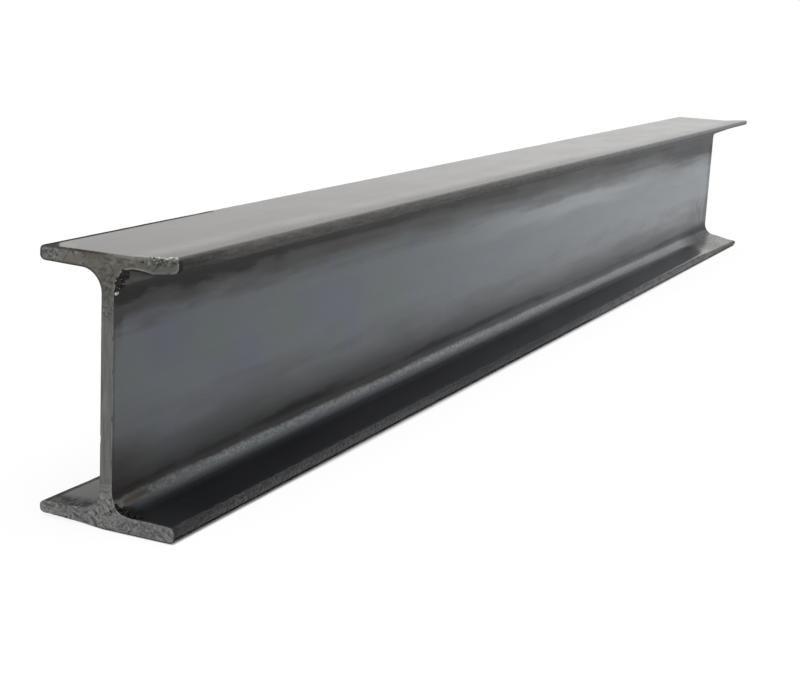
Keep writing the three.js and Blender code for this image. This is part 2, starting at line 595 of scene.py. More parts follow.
def coats(color, *layers):
    """A colour with others laid over it in turn, each by its share."""
    for share, over in layers:
        color = share.blend(color, over)
    return color


print("middle grey is", [round(v, 3) for v in tint(128, 128, 128)[:3]])

# %% Sheets to write them on
class Sheet:
    """A node tree that starts empty."""

    def __init__(self, tree):
        self.tree = tree
        tree.nodes.clear()

    def add(self, kind, inputs=(), output=0, **settings):
        """Add a node, fed with plain values and fields. Gives one output, or a list if several are named."""
        node = self.tree.nodes.new(kind)
        for name, value in settings.items():
            setattr(node, name, value)
        for key, value in dict(inputs).items():
            if isinstance(value, Field):
                self.tree.links.new(value.socket, node.inputs[key])
            else:
                node.inputs[key].default_value = value
        if isinstance(output, tuple):
            return [Field(self, node.outputs[name]) for name in output]
        return Field(self, node.outputs[output]) if node.outputs else node

    def vector(self, operation, first, second):
        return self.add("ShaderNodeVectorMath", {0: first, 1: second}, operation=operation)


def new_group(name, inputs, outputs):
    """An empty node group, as a sheet and the fields that its inputs bring."""
    group = bpy.data.node_groups.new(name, "ShaderNodeTree")
    for in_out, sockets in (("INPUT", inputs), ("OUTPUT", outputs)):
        for label, kind in sockets.items():
            group.interface.new_socket(name=label, in_out=in_out, socket_type="NodeSocket" + kind)
    sheet = Sheet(group)
    return sheet, sheet.add("NodeGroupInput", output=tuple(inputs))


print("sheets can be written")

# %% [markdown]
# ## Effects that the finishes share
#
# Three effects come back in every finish, each as a group with its own values in each place:
# *patches* are soft clouds of any size in each direction, *grain* is the fine roughness of the
# surface, and *specks* are small separate chips and pits.

# %% Patches: soft clouds, bent by a second noise
sheet, (position, size, detail, start, end, swirl) = new_group(
    "patches",
    {"Position": "Vector", "Size": "Vector", "Detail": "Float", "Start": "Float", "End": "Float", "Swirl": "Float"},
    {"Mask": "Float"},
)
scaled = sheet.vector("DIVIDE", position, size)
wander = sheet.add("ShaderNodeTexNoise", {"Vector": scaled, "Scale": 0.4, "Detail": 1.0}, output="Color")
wander = sheet.vector("SUBTRACT", wander, (0.5, 0.5, 0.5))
wander = sheet.add("ShaderNodeVectorMath", {0: wander, "Scale": swirl}, operation="SCALE")
swirled = sheet.vector("ADD", scaled, wander)
cloud = sheet.add("ShaderNodeTexNoise", {"Vector": swirled, "Scale": 1.0, "Detail": detail})
sheet.add("NodeGroupOutput", {"Mask": cloud.fade(start, end)})
print("patches:", len(sheet.tree.nodes), "nodes")

# %% Grain: a coarse noise and a fine one
sheet, (position, size, along) = new_group(
    "grain", {"Position": "Vector", "Size": "Float", "Along": "Float"}, {"Shade": "Float", "Height": "Float"}
)
sizes = sheet.add("ShaderNodeCombineXYZ", {"X": size * along, "Y": size, "Z": size})
scaled = sheet.vector("DIVIDE", position, sizes)
coarse = sheet.add("ShaderNodeTexNoise", {"Vector": scaled, "Scale": 0.35, "Detail": 2.0})
fine = sheet.add("ShaderNodeTexNoise", {"Vector": scaled, "Scale": 1.0, "Detail": 3.0, "Roughness": 0.6})
height = sheet.add("ShaderNodeMix", {0: 0.6, 2: coarse, 3: fine}, data_type="FLOAT")
sheet.add("NodeGroupOutput", {"Shade": height.fade(0.32, 0.68), "Height": height})
print("grain:", len(sheet.tree.nodes), "nodes")

# %% Specks: spots in a few cells of a Voronoi pattern
sheet, (position, size, share) = new_group(
    "specks", {"Position": "Vector", "Size": "Float", "Share": "Float"}, {"Mask": "Float"}
)
scaled = sheet.vector("DIVIDE", position, size)
wander = sheet.add("ShaderNodeTexNoise", {"Vector": scaled, "Scale": 1.3, "Detail": 2.0}, output="Color")
bent = sheet.vector("ADD", scaled, wander)
distance, lot = sheet.add("ShaderNodeTexVoronoi", {"Vector": bent, "Scale": 1.0}, output=("Distance", "Color"))
chosen = sheet.add("ShaderNodeSeparateColor", {0: lot}).math("LESS_THAN", share)
sheet.add("NodeGroupOutput", {"Mask": distance.fade(0.42, 0.22) * chosen})
print("groups:", [group.name for group in bpy.data.node_groups])

# %% [markdown]
# ## A sheet for a finish
#
# Every finish reads the object's own coordinates. They say where on the section a point is, so one
# material serves the whole beam without a seam between its parts. Every finish also ends in the
# same way: its colour, roughness and relief go into one Principled shader.

# %% A finish from its first node to its last
class Finish(Sheet):
    def __init__(self, name):
        self.material = bpy.data.materials.new(name)
        self.material.use_nodes = True
        super().__init__(self.material.node_tree)
        self.position = self.add("ShaderNodeTexCoord", output="Object")

    def axes(self):
        """Along the beam, across it, and up."""
        return self.add("ShaderNodeSeparateXYZ", {0: self.position}, output=("X", "Y", "Z"))

    def marked(self, name):
        return self.add("ShaderNodeAttribute", output="Fac", attribute_name=name + "_mask")

    def effect(self, group, output, at=None, **values):
        """A shared effect. Its values are named as the group's inputs, in small letters."""
        inputs = {name.title(): value for name, value in values.items()}
        inputs["Position"] = at or self.position
        return self.add("ShaderNodeGroup", inputs, output=output, node_tree=bpy.data.node_groups[group])

    def patches(self, size, detail, start, end, swirl=0.0, at=None):
        """Clouds of a size along, across and up: none where their noise is start, full where it is end."""
        return self.effect("patches", "Mask", at, size=size, detail=detail, start=start, end=end, swirl=swirl)

    def grain(self, size, along=1.0):
        return self.effect("grain", ("Shade", "Height"), size=size, along=along)

    def specks(self, size, share):
        return self.effect("specks", "Mask", size=size, share=share)

    def end(self, color, roughness, height, depth, metallic, sheen=(1.0, 1.0, 1.0, 1.0)):
        """depth is the relief's height in metres, sheen the tint of what is seen at a slant."""
        bump = {"Strength": 1.0, "Distance": depth, "Height": height}
        shader = self.add("ShaderNodeBsdfPrincipled", {
            "Base Color": color, "Roughness": roughness, "Metallic": metallic, "Specular Tint": sheen,
            "Normal": self.add("ShaderNodeBump", bump, output="Normal"),
        }, output="BSDF")
        self.add("ShaderNodeOutputMaterial", {"Surface": shader})
        print(self.material.name, "has", len(self.tree.nodes), "nodes")
        return self.material


print("finishes can be written")

# %% [markdown]
# ## Mill scale
#
# Hot steel leaves the rolls with a thin blue-grey skin of oxide. It is smooth but not even: broad
# bluish and greenish clouds lie along the beam, brownish ones near the roots, with fine lines from
# the rolls over all of it. The toes, which the rolls never touch flat, are dark and rough. The
# finish is built up as a painter would: first the clouds and grains, then masks that say where
# something lies, then one coat of colour after the other. Some coats are painted light: painted
# shade in dark bands along the roots and at the foot of the toes, a painted highlight in the lower
# root, and a painted sheen and painted reflections towards the far end.
# Lengths are in metres again: *level* is measured from the ground, *from_cut* from the near cut.

# %% Clouds and grains of the scale
BROKEN_CORNER = (0.0115, 0.0085)  # of the top face: back from the near cut, in from the far toe

scale = Finish("mill_scale_steel")
along, side, level = scale.axes()
from_cut = along + HALF_LENGTH

blues = scale.patches((0.045, 0.05, 0.036), 1, 0.40, 0.64)
greens = scale.patches((0.034, 0.04, 0.030), 1, 0.46, 0.68)
wisps = scale.patches((0.034, 0.02, 0.007), 4, 0.30, 0.70)
mottle = scale.patches((0.012, 0.004, 0.004), 3, 0.36, 0.66)
streaks = scale.patches((0.140, 0.003, 0.003), 4, 0.30, 0.70)
drift = scale.patches((0.110, 0.02, 0.006), 2, 0.30, 0.70)
tatters = scale.patches((0.024, 0.01, 0.0055), 3, 0.26, 0.74)
billows = scale.patches((0.070, 0.02, 0.012), 3, 0.26, 0.74)
chips = scale.patches((0.0045, 0.0016, 0.0016), 3, 0.36, 0.64)
blots = scale.patches((0.005, 0.02, 0.020), 2, 0.46, 0.62)
stripe_patches = scale.patches((0.009, 0.005, 0.004), 2, 0.38, 0.60)
toe_grain = scale.patches((0.0060, 0.0014, 0.0012), 3, 0.32, 0.70)
low_grain = scale.patches((0.0022, 0.0011, 0.0011), 3, 0.36, 0.66)
far_grain = scale.patches((0.0090, 0.0026, 0.0022), 2, 0.40, 0.60)
skin_height = scale.grain(0.0011, along=2.0)[1]
print("clouds and grains:", len(scale.tree.nodes), "nodes")

# %% Faces and edges of the section
top_face = level.fade(DEPTH - 0.0015, DEPTH - 0.0004)
below_top = 1.0 - top_face
toe = scale.marked("toe") * level.fade(DEPTH, DEPTH + 0.0012, 1.0, 0.5)
low_part = level.fade(0.020, 0.010)
back_flange = level.fade(0.016, 0.010) * side.fade(0.003, 0.008)
slid = side + from_cut.fade(0.12, 0.50, 0.0, 0.0028)  # the front flange's limit drifts outwards
flank = level - from_cut.fade(0.03, 0.12, 0.0007, 0.0)  # and down
front_flange = flank.fade(0.0085, 0.0070) * slid.fade(-0.0045, -0.0080)
far_edge = top_face * side.fade(HALF_WIDTH - 0.0050, HALF_WIDTH - 0.0032) * from_cut.fade(0.130, 0.030)
back_edge = back_flange * side.fade(HALF_WIDTH - 0.0045, HALF_WIDTH - 0.0028) * mottle.spread(0.5, 1.0)
# painted shade at the foot of the toes, where they meet the ground
foot = level.fade(from_cut.fade(0.35, 0.55, 0.0023, 0.0014), from_cut.fade(0.35, 0.55, 0.0011, 0.0005))
from_corner = from_cut / BROKEN_CORNER[0] + (HALF_WIDTH - side) / BROKEN_CORNER[1]
from_corner = from_corner + mottle.spread(-0.15, 0.15)
corner = most(top_face, back_flange) * from_corner.fade(1.15, 0.9)

# the outlines of the bands below are never straight
ragged = drift.spread(-0.0016, 0.0016) + mottle.spread(-0.0004, 0.0004)
ragged = ragged + tatters.spread(-0.0024, 0.0024) * from_cut.fade(0.20, 0.06) * level.fade(0.060, 0.072)
wavy_level = level + ragged
uneven = level + chips.spread(-0.0002, 0.0002) + wisps.spread(-0.0003, 0.0003)
print("faces and edges:", len(scale.tree.nodes), "nodes")

# %% The root's painted highlight, and the dark bands along the roots, painted shade over a brown tint
upper_rim = uneven + from_cut.fade(0.35, 0.55, 0.0, 0.0008)
shifted = level + from_cut.fade(0.10, 0.70, 0.0, 0.0016)  # the light stripe widens along the beam
# painted highlight: a lighter stripe along the lower root, where the fillet mirrors the light
root_highlight = upper_rim.fade(0.0118, 0.0096) * shifted.fade(0.0076, 0.0094)
dull_stripe = root_highlight * from_cut.fade(0.085, 0.004) * stripe_patches.spread(1.0, 0.45)
root = level.fade(0.0125, 0.0108) * level.fade(0.0064, 0.0074)
low_side = level.fade(0.0100, 0.0078) * level.fade(0.0060, 0.0070)  # of the root stripe

# the top root behind the near cut, ground bare
hollow = (from_cut + ragged * 3.0).fade(0.030, 0.014) * side.fade(-0.002, -0.003)
hollow = hollow * uneven.fade(0.0878, 0.0892) * level.fade(0.0948, 0.0938)

# painted shade: high on the web a dark band under the top flange, low on it a dark band above the lower flange, both
# over a brownish tint of the scale
upper_level = wavy_level + from_cut.fade(0.34, 0.48, 0.0, 0.0010)
upper_shade_band = upper_level.fade(0.068, 0.084) * below_top
lower_shade_band = (wavy_level + billows.spread(-0.004, 0.004)).fade(0.048, 0.010) * level.fade(0.0098, 0.0118)
high_shade_band = wavy_level.fade(0.0822, 0.0868, 0.0, 0.85) * (1.0 - most(top_face, hollow))
far_patch = most(from_cut.fade(0.64, 0.755) * (wavy_level.fade(0.060, 0.078) - top_face), 0.0)
# painted shade: darker still just above the root's painted highlight, right under the top flange, and high on the web
# near the far end
deep_shade_band = wavy_level.fade(0.0180, 0.0138) * upper_rim.fade(0.0098, 0.0119)
deep_shade_band = deep_shade_band * from_cut.fade(0.720, 0.795, 1.0, 0.35) * streaks.spread(0.60, 0.86)
deep_shade_band = most(deep_shade_band, high_shade_band)
deep_shade_band = most(deep_shade_band, far_patch * wavy_level.fade(0.0735, 0.0805, 0.8, 0.14))
print("stripe and bands:", len(scale.tree.nodes), "nodes")

# %% What took the sheen off: heat at both cuts, soot, a dark strip behind the near cut, and the bands, whose brown cover is also painted shade
burnt_end = from_cut.fade(0.040, 0.0) * wavy_level.fade(0.044, 0.016)
# darker in a thin strip right behind the near cut, high on the web
dark_cut_edge = from_cut.fade(0.0075, 0.0035) * wavy_level.fade(0.066, 0.074)
edge_line = from_cut.fade(0.0022, 0.0010) * mottle.spread(0.5, 1.0)
soot = blots * from_cut.fade(0.785, 0.805) * level.fade(0.044, 0.030)
far_cut = from_cut.fade(LENGTH - 0.012, LENGTH - 0.006) + soot
# the darker, rougher places: marks of the cuts, and the bands, which are partly painted shade
matte_and_shade = ((burnt_end + dark_cut_edge + edge_line) * 0.5 + far_cut * 0.5) * below_top
matte_and_shade = matte_and_shade + upper_shade_band + lower_shade_band * from_cut.fade(0.40, 0.72, 0.7, 0.95)
matte_and_shade = matte_and_shade.math("MINIMUM", 1.0)
# near black on the lower root beside the near cut: loose black scale, and painted shade of that root
black_scale_and_shade = from_cut.fade(0.0125, 0.0050) * level.fade(0.0086, 0.0074) * side.fade(-0.0130, -0.0105)

# painted reflection: the scale is painted paler towards the far end, and a painted sheen lies along the middle of the
# web there
pale = 1.0 - most(deep_shade_band, upper_shade_band * 0.7)
pale = from_cut.fade(0.20, 0.62, 0.0, 0.5) * pale
sheen = from_cut.fade(0.26, 0.50) * from_cut.fade(0.68, 0.54, 0.0, 0.55)
sheen = sheen * wavy_level.fade(0.058, 0.066) * wavy_level.fade(0.0742, 0.0685)
# painted reflection: the far tip of the lower flange is painted light
slanted = from_cut - side * 5.0  # the far tip's painted reflection reaches further back at the toe
far_tip_reflection = level.fade(0.0104, 0.0076) * slanted.fade(0.857, 0.883) * chips.spread(0.6, 1.0)
print("matte and pale places:", len(scale.tree.nodes), "nodes")

# %% Colours of the root's painted highlight, the top face, the lower flange and the toes
near_stripe = low_grain.blend((82, 84, 85), (116, 118, 118))
far_stripe = low_grain.blend((94, 94, 94), (132, 131, 129))
stripe_color = from_cut.fade(0.14, 0.34).blend(near_stripe, far_stripe)

along_top = from_cut.fade(0.02, 0.50)
dark_top = along_top.blend((49, 48, 45), (76, 75, 72))
pale_top = along_top.blend((86, 85, 82), (112, 111, 108))
top_color = (wisps * 0.35 + streaks * 0.25).blend(dark_top, pale_top)

# the near lower flange is dark, partly its own scale and partly painted shade, as the face mirrors the dark web under
# the top flange
flange_color = coats(
    (from_cut.fade(0.010, 0.045) * from_cut.fade(0.38, 0.24)).blend((46, 47, 51), (56, 57, 61)),
    # painted reflection: lighter towards the far end
    (from_cut.fade(0.45, 0.80), (104, 104, 104)),
)
low_rough = from_cut.fade(0.30, 0.50).mix(low_grain, far_grain)
low_toe = coats(
    low_grain.blend((32, 32, 32), (60, 59, 58)),
    (from_cut.fade(0.10, 0.30), low_grain.blend((20, 20, 20), (42, 42, 42))),
    (from_cut.fade(0.40, 0.60), low_rough.blend((6, 6, 6), (66, 66, 66))),
    # painted reflection: lighter near the far end
    (from_cut.fade(0.73, 0.79), (104, 102, 98)),
    # painted shade on the lower part of the near toe
    (level.fade(0.0030, 0.0010) * from_cut.fade(0.44, 0.28, 0.0, 0.6), (18, 18, 18)),
)
toe_color = coats(
    toe_grain.blend((74, 72, 69), (88, 86, 83)),
    (from_cut.fade(0.30, 0.70), (92, 92, 92)),
    (level.fade(0.030, 0.020), low_toe),
    (from_cut.fade(0.048, 0.010, 0.0, 0.65), toe_grain.blend((22, 21, 20), (46, 44, 42))),
    (from_cut.fade(0.0036, 0.0020, 0.0, 0.8), (12, 12, 12)),
)
print("colours of the parts:", len(scale.tree.nodes), "nodes")

# %% The coats of colour
scale_color = coats(
    blues.blend((88, 91, 94), (85, 88, 96)),
    (greens * 0.8, (84, 91, 90)),
    # the next two coats are partly painted shade, in the dark bands along the roots
    (matte_and_shade, (45, 41, 39)),
    (deep_shade_band, (30, 27, 25)),
    (scale.marked("bite").fade(0.05, 0.6), (92, 94, 88)),
    (hollow * mottle.spread(0.6, 0.95), from_cut.fade(0.010, 0.018).blend((72, 76, 69), (77, 75, 70))),
    # painted highlight along the lower root
    (root_highlight * 0.8, stripe_color),
    (dull_stripe, from_cut.fade(0.022, 0.010).blend((46, 44, 43), (56, 50, 43))),
    # painted reflection and painted sheen towards the far end
    (pale, (112, 114, 116)),
    (sheen, (140, 142, 145)),
    (top_face, top_color),
    # partly painted shade on the near lower flange
    (front_flange * 0.85, flange_color),
    (back_flange, (112, 112, 109)),
    # painted reflection on the far tip
    (far_tip_reflection, (172, 172, 169)),
    # loose black scale and painted shade beside the near cut
    (black_scale_and_shade * chips.spread(0.6, 1.0), (8, 8, 8)),
    (streaks.spread(0.0, 0.06), (60, 60, 62)),
    (toe, toe_color),
    (far_edge, (58, 58, 55)),
    (top_face * from_corner.fade(1.9, 1.5), (94, 84, 72)),  # a faint stain of rust
    (back_edge, (54, 53, 50)),
    (corner, toe_grain.blend((56, 55, 53), (84, 83, 81))),
    # painted shade at the foot of the toes
    (foot, chips.blend((14, 14, 14), (40, 40, 40))),
)
print("coats:", len(scale.tree.nodes), "nodes")

# %% Roughness, relief and the finished mill scale
# each mask adds its own amount, which may change along the beam
scale_roughness = wisps.spread(0.21, 0.24) + matte_and_shade * 0.22 - top_face * 0.05
near_top = side.fade(-0.007, -0.0255, 0.0, 0.12) * from_cut.fade(0.35, 0.60, 1.0, 0.4)
duller = from_cut.fade(0.20, 0.30) * from_cut.fade(0.50, 0.38, 0.0, 0.09)
for share, more in (
    (top_face, near_top),
    (low_part, from_cut.fade(0.745, 0.800, 0.0, 0.42)),
    (low_side, from_cut.fade(0.20, 0.60, 0.28, 0.06)),
    (back_flange, 0.34),
    (root_highlight, low_grain.spread(0.04, 0.10)),
    (far_patch, wavy_level.fade(0.078, 0.085, 0.14, 0.02)),
    (toe * low_part, duller),
    (most(toe, far_edge), 0.18),
    (hollow, 0.2),
):
    scale_roughness = scale_roughness + share * more

scale_relief = skin_height + low_part.mix(toe_grain, low_rough) * toe * 4.0 + low_grain * root * 1.3
scale_metallic = most(matte_and_shade - deep_shade_band, back_flange).spread(0.95, 0.5) * hollow.spread(1.0, 0.1)
bluish = (0.96, 0.98, 1.0, 1.0)
mill_scale = scale.end(scale_color, scale_roughness, scale_relief, 0.00004, scale_metallic, bluish)

# %% [markdown]
# ## Three duller kinds of the scale
#
# Seen at a slant, bare metal mirrors what stands behind it almost in full. Dust and wear take some
# of that away: a little on the top face and on the lower flange, and nearly all of it on the rough
# edges. On the lower flange the duller copy is also painted shade, as it darkens a face that mirrors
# the dark web, and on the foot of the near toe the dullest copy paints the dark line where it meets
# the ground. The shader has a tint for just this, so these kinds are copies with another tint.

# %% Copies of the mill scale with another sheen
SHEENS = {
    "top_face_scale": (0.90, 0.89, 0.88, 1.0),
    "far_edge_scale": (0.22, 0.22, 0.21, 1.0),
    # partly painted shade: this copy makes the lower flange darker
    "low_flange_scale": (0.79, 0.78, 0.79, 1.0),
}

kinds = []
for name, tinge in SHEENS.items():
    kind = mill_scale.copy()
    kind.name = name
    kind.node_tree.nodes["Principled BSDF"].inputs["Specular Tint"].default_value = tinge
    kinds.append(kind)
print("kinds:", [kind.name for kind in kinds])

# %% [markdown]
# ## Sawn steel
#
# The blade leaves bare grey metal. On the web its marks run up and down and are fine. The flanges
# are torn more coarsely: dark and bright grains at the toes, and short strokes that swirl across
# the bottom flange. Near the top face the heat left brownish stains. The rim of the near half is
# worn bright and painted lighter still as a highlight on the edge, and that of the far half is
# painted dark, as shade on that arris.

# %% Grains and strokes of the cuts
# on a cut the first size, along the beam, hardly counts
sawn = Finish("sawn_steel")
_, side, level = sawn.axes()
falling, rising = (
    sawn.add("ShaderNodeMapping", {"Vector": sawn.position, "Rotation": (math.radians(turn), 0, 0)})
    for turn in (38, -32)
)
tone = sawn.patches((0.01, 0.010, 0.010), 2, 0.38, 0.62)
stains = sawn.patches((0.01, 0.013, 0.005), 3, 0.47, 0.60, swirl=1.0)
dark_grains = sawn.patches((0.01, 0.0016, 0.0013), 2, 0.49, 0.40)
pale_grains = sawn.patches((0.02, 0.0015, 0.0012), 2, 0.53, 0.63)
upright = sawn.patches((0.01, 0.0011, 0.020), 2, 0.35, 0.65)
dark_strokes = sawn.patches((0.01, 0.0050, 0.0011), 2, 0.56, 0.68, swirl=2.5, at=falling)
pale_strokes = sawn.patches((0.01, 0.0042, 0.0009), 2, 0.57, 0.68, swirl=2.5, at=rising)
blotches = sawn.patches((0.01, 0.0042, 0.0015), 3, 0.40, 0.62, swirl=1.5)
pale_blotches = sawn.patches((0.01, 0.0032, 0.0017), 3, 0.46, 0.66, swirl=1.5)
worn = sawn.patches((0.003, 0.004, 0.004), 3, 0.36, 0.56)
pits = sawn.specks(0.0013, 0.36)
flecks = sawn.specks(0.0014, 0.42)
cut_height = sawn.grain(0.0007)[1]
print("grains and strokes:", len(sawn.tree.nodes), "nodes")

# %% Where on the cut a point lies
low_flange = level.fade(0.020, 0.010)
high_flange = level.fade(0.086, 0.092)
on_web = abs(side).fade(0.0045, 0.0030) * level.fade(0.014, 0.022) * level.fade(0.088, 0.078)
web_top = level.fade(0.074, 0.079) * level.fade(0.094, 0.088)
far_toe = side.fade(0.017, 0.022)
near_corner = side.fade(-0.0115, -0.0150) * level.fade(0.0970, 0.0985)
coarse_parts = most(low_flange, far_toe)
torn = most(coarse_parts, near_corner)
stained = stains * level.fade(0.0915, 0.0940)
swept = most(low_flange, stained * 0.7)
pitted = most(web_top * 0.8, near_corner)
flecked = most(near_corner * level.fade(0.0982, 0.0989) * 0.9, web_top * 0.3)
warm = side.fade(0.0205, 0.0180) * side.fade(0.0115, 0.0145) * high_flange

rim = sawn.marked("arris") * (1.0 - on_web)
under_toe = side.fade(-0.018, -0.020) * level.fade(0.0970, 0.0955) * high_flange
# painted highlight on the worn rim of the near half
worn_highlit_rim = rim * worn * side.fade(0.001, -0.002) * under_toe.spread(1.0, 0.35)
# painted shade on the rim of the far half
shaded_rim = rim * side.fade(0.001, 0.004) * level.fade(0.006, 0.020, 0.2, 1.0)
rubbed = sawn.marked("rub") * side.fade(-0.002, -0.003) * side.fade(-0.0185, -0.0130) * level.fade(0.088, 0.091)
print("places on the cut:", len(sawn.tree.nodes), "nodes")

# %% Colour, roughness and relief of the cuts
sawn_color = coats(
    tone.blend((94, 93, 88), (108, 106, 101)),
    (blotches * 0.75, (76, 74, 69)),
    (pale_blotches * 0.6, (124, 121, 114)),
    (on_web, upright.blend((101, 101, 99), (115, 116, 114))),
    (coarse_parts, (119, 120, 119)),
    (low_flange * side.fade(-0.003, -0.009) * 0.8, (106, 107, 108)),
    (high_flange * side.fade(0.002, 0.008, 0.0, 0.45), (118, 117, 115)),
    (high_flange * side.fade(-0.010, -0.015), (92, 95, 88)),
    (stained * side.fade(-0.016, -0.012), (101, 92, 85)),
    (warm * tone.spread(0.3, 0.7), (116, 107, 96)),
    (torn * dark_grains * 0.5, (66, 66, 64)),
    (torn * pale_grains * 0.35, (160, 160, 157)),
    (swept * dark_strokes * 0.45, (58, 57, 54)),
    (low_flange * pale_strokes * 0.45, (158, 158, 154)),
    (web_top * dark_grains.spread(0.25, 0.75), (74, 73, 71)),
    (high_flange * dark_strokes * 0.5, (66, 64, 60)),
    (pitted * pits * 0.8, (50, 50, 48)),
    (flecked * flecks, (182, 182, 178)),
    (sawn.marked("crumb") * 0.5, (156, 155, 150)),
    (sawn.marked("dent") * 0.6, (48, 46, 43)),
    (rubbed * 0.6, (130, 130, 121)),
    (worn_highlit_rim * 0.4, (142, 142, 138)),
    (shaded_rim * 0.7, (58, 57, 55)),
)
sawn_relief = cut_height * 1.5 + upright * on_web + torn * (pale_grains - dark_grains) - dark_strokes * swept
sawn_steel = sawn.end(sawn_color, tone.spread(0.48, 0.58), sawn_relief, 0.00016, 0.85)

# %% [markdown]
# ## Dressing the beam
#
# The mill scale covers all. Over it the top face, the worn far edge and the lower flange get their
# own kinds of it, and last the faces of the cuts and their arrises get the sawn steel. Smooth
# shading stops at steep angles, so the broken grain of the cuts stays crisp.

# %% Give the faces their materials
for material in (mill_scale, sawn_steel, *kinds):
    beam.data.materials.append(material)


def on_far_edge(c, n):
    """The outer strip of the top face's far side, its broken corner, and the foot of the near toe."""
    behind = c[:, 0] + HALF_LENGTH
    strip = HALF_WIDTH - np.interp(behind, [0, 0.11, 0.112, 0.20, 0.23], [0.0036, 0.0036, 0.0020, 0.0018, 0.0])
    corner = behind / BROKEN_CORNER[0] + (HALF_WIDTH - c[:, 1]) / BROKEN_CORNER[1] < 1.0
    top = (c[:, 2] > DEPTH - 0.003) & ((c[:, 1] > strip) | corner)
    low = (c[:, 2] < 0.007) & (c[:, 2] > 0.003) & (c[:, 1] > strip) & (behind < 0.06)
    # the foot of the near toe gets the dullest copy, which paints its shade where it meets the ground
    foot_height = np.interp(behind, [0.36, 0.50], [0.0017, 0.0011])
    return top | low | ((c[:, 2] < foot_height) & (c[:, 1] < -HALF_WIDTH + 0.003))


def on_top_face(c, n):
    """All of it between the rounded toes."""
    return (n[:, 2] > 0.9) & (c[:, 2] > DEPTH - 0.001) & (np.abs(c[:, 1]) < HALF_WIDTH - OUTER_TOE_RADIUS)


def on_low_flange(c, n):
    """The middle of its inner face on the near side."""
    return (n[:, 2] > 0.9) & (c[:, 2] < 0.0075) & (np.abs(c[:, 1] + 0.0188) < 0.0078)


for slot, test in (
    (2, on_top_face),
    (3, on_far_edge),
    (4, on_low_flange),
    (1, lambda c, n: np.abs(c[:, 0]) > HALF_LENGTH - CUT_BEVEL * 1.6),
):
    chosen = pick(beam, "FACE", test)
    beam.active_material_index = slot
    bpy.ops.object.material_slot_assign()
    leave_edit_mode()
    print(beam.data.materials[slot].name, "on", chosen, "faces")
only(beam)
bpy.ops.object.shade_smooth_by_angle(angle=math.radians(60))
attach(beam, "root")
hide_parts("i_beam")
print("beam:", len(beam.data.polygons), "faces")

# %% [markdown]
# ## Burr, crust, crumbs and chip
#
# Four small pieces sit on the near cut. Where the blade came out it left a ragged bright lip along
# one corner of the top flange: a thin bar, cut into short lengths and broken up by noise. In the
# root below it sticks a black crust of loose scale: little balls, each a bit different, sunk half
# into the hollow and joined. A single bright chip hangs at its foot. Finer crumbs of the same
# scale have come to lie in the lower root.

# %% Finishes of the burr and the crust
bright = Finish("burr_steel")
grain, grain_height = bright.grain(0.0006)
burr_color = coats(
    grain.blend((122, 122, 119), (206, 206, 203)),
    (bright.specks(0.0014, 0.4), (58, 57, 55)),
)
burr_steel = bright.end(burr_color, grain.spread(0.35, 0.60), grain_height, 0.0001, 0.9)

black = Finish("black_crust")
grain, grain_height = black.grain(0.0005)
level = black.axes()[2]
crust_color = coats(
    grain.blend((20, 19, 18), (52, 50, 47)),
    (black.specks(0.0009, 0.18), (120, 118, 112)),
    (level.fade(0.05, 0.03), grain.blend((5, 5, 5), (18, 18, 18))),  # the crumbs below are blacker
)
black_crust = black.end(crust_color, grain.spread(0.55, 0.85), grain_height, 0.0002, 0.45, (0.6, 0.6, 0.6, 1.0))

# %% The ragged lip
BURR_START, BURR_END = -0.0158, -0.0284  # across the flange, from the middle of the web
BURR_LENGTH, BURR_HEIGHT = 0.0009, 0.0008
BURR_X, BURR_Z = -HALF_LENGTH + 0.0001, DEPTH - 0.0001  # its middle
BURR_PITCH = 0.00022

bpy.ops.object.select_all(action="DESELECT")
bpy.ops.mesh.primitive_cube_add(
    size=1, location=(BURR_X, (BURR_START + BURR_END) / 2, BURR_Z),
    scale=(BURR_LENGTH, BURR_START - BURR_END, BURR_HEIGHT),
)
burr = bpy.context.object
burr.name = burr.data.name = "saw_burr"
bpy.ops.object.transform_apply()
bpy.ops.object.mode_set(mode="EDIT")
slice_shown(1, steps(BURR_END, BURR_START, BURR_PITCH))
slice_shown(0, steps(BURR_X - BURR_LENGTH / 2, BURR_X + BURR_LENGTH / 2, BURR_PITCH))
slice_shown(2, steps(BURR_Z - BURR_HEIGHT / 2, BURR_Z + BURR_HEIGHT / 2, BURR_PITCH))
leave_edit_mode()
mark(burr, "whole", np.ones(len(burr.data.vertices)))
ruffle(burr, "whole", size=0.0030, height=0.0024, middle=0.57, octaves=1, shift=0.11)
ruffle(burr, "whole", size=0.0008, height=0.0009, middle=0.5, octaves=3, shift=0.19)
lift_toe(burr)
burr.data.materials.append(burr_steel)
bpy.ops.object.shade_smooth_by_angle(angle=math.radians(50))
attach(burr, "root")
print("burr:", len(burr.data.polygons), "faces")

# %% Lumps that grow together
def on_root(behind, degrees):
    """A place on the worn hollow: so far behind the near cut, so many degrees up from the web."""
    angle = math.radians(degrees)
    across = ROOT_CENTRE_Y - ROOT_RADIUS * math.cos(angle)
    lifted = BITE_DEPTH * float(bite_share(across, behind))
    return Vector((-HALF_LENGTH + behind, -across, ROOT_CENTRE_Z + ROOT_RADIUS * math.sin(angle) + lifted))


def lump(place, radius, squash):
    bpy.ops.object.select_all(action="DESELECT")
    bpy.ops.mesh.primitive_ico_sphere_add(subdivisions=2, radius=radius, location=place, scale=squash)
    bpy.ops.object.transform_apply()
    return bpy.context.object


